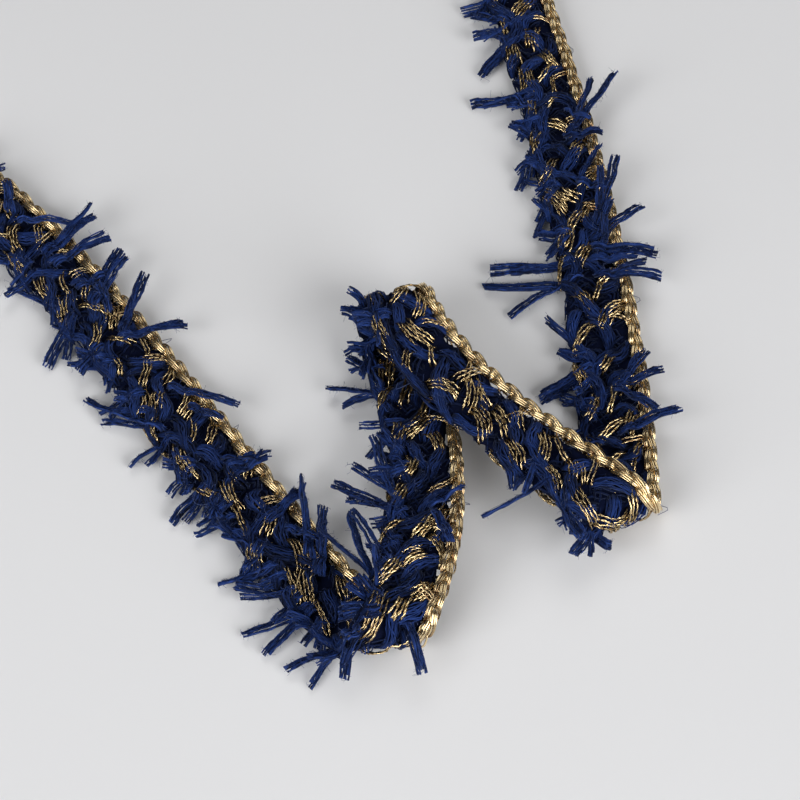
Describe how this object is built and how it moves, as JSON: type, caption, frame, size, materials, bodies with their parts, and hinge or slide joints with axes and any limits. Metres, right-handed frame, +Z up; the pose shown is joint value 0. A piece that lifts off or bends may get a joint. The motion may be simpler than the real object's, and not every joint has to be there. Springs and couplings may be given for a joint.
{
  "type": "fringe trim",
  "caption": "Navy and gold braided fringe trim with a gold chain edge and cut yarn locks, laid on a surface in a folded zigzag.",
  "frame": {"origin": "on the surface the trim rests on, under the middle of its outline", "axes": "+Z up from the surface, +Y along the longest extent, from the bottom fold towards the far end of the right run, +X from the left run's end towards the right run"},
  "size_m": [0.143, 0.1787, 0.0149],
  "materials": {
    "navy_yarn": "soft matt navy roving with fine loose fibres",
    "gold_yarn": "twisted metallic yarn, pale gold with bright glints"
  },
  "bodies": {
    "root": {"braid_body": "navy_yarn", "heading_chain": "gold_yarn", "fringe_left_run_1": "navy_yarn", "fringe_left_run_2": "navy_yarn", "fringe_left_run_3": "navy_yarn", "fringe_upright_run_1": "navy_yarn", "fringe_upright_run_2": "navy_yarn", "fringe_crossing_run_1": "navy_yarn", "fringe_crossing_run_2": "navy_yarn", "fringe_right_run_1": "navy_yarn", "fringe_right_run_2": "navy_yarn", "fringe_right_run_3": "navy_yarn", "face_tufts_left_run_1": "navy_yarn", "face_tufts_left_run_2": "navy_yarn", "face_tufts_left_run_3": "navy_yarn", "face_tufts_upright_run_1": "navy_yarn", "face_tufts_upright_run_2": "navy_yarn", "face_tufts_crossing_run_1": "navy_yarn", "face_tufts_crossing_run_2": "navy_yarn", "face_tufts_right_run_1": "navy_yarn", "face_tufts_right_run_2": "navy_yarn", "face_tufts_right_run_3": "navy_yarn"}
  },
  "joints": []
}
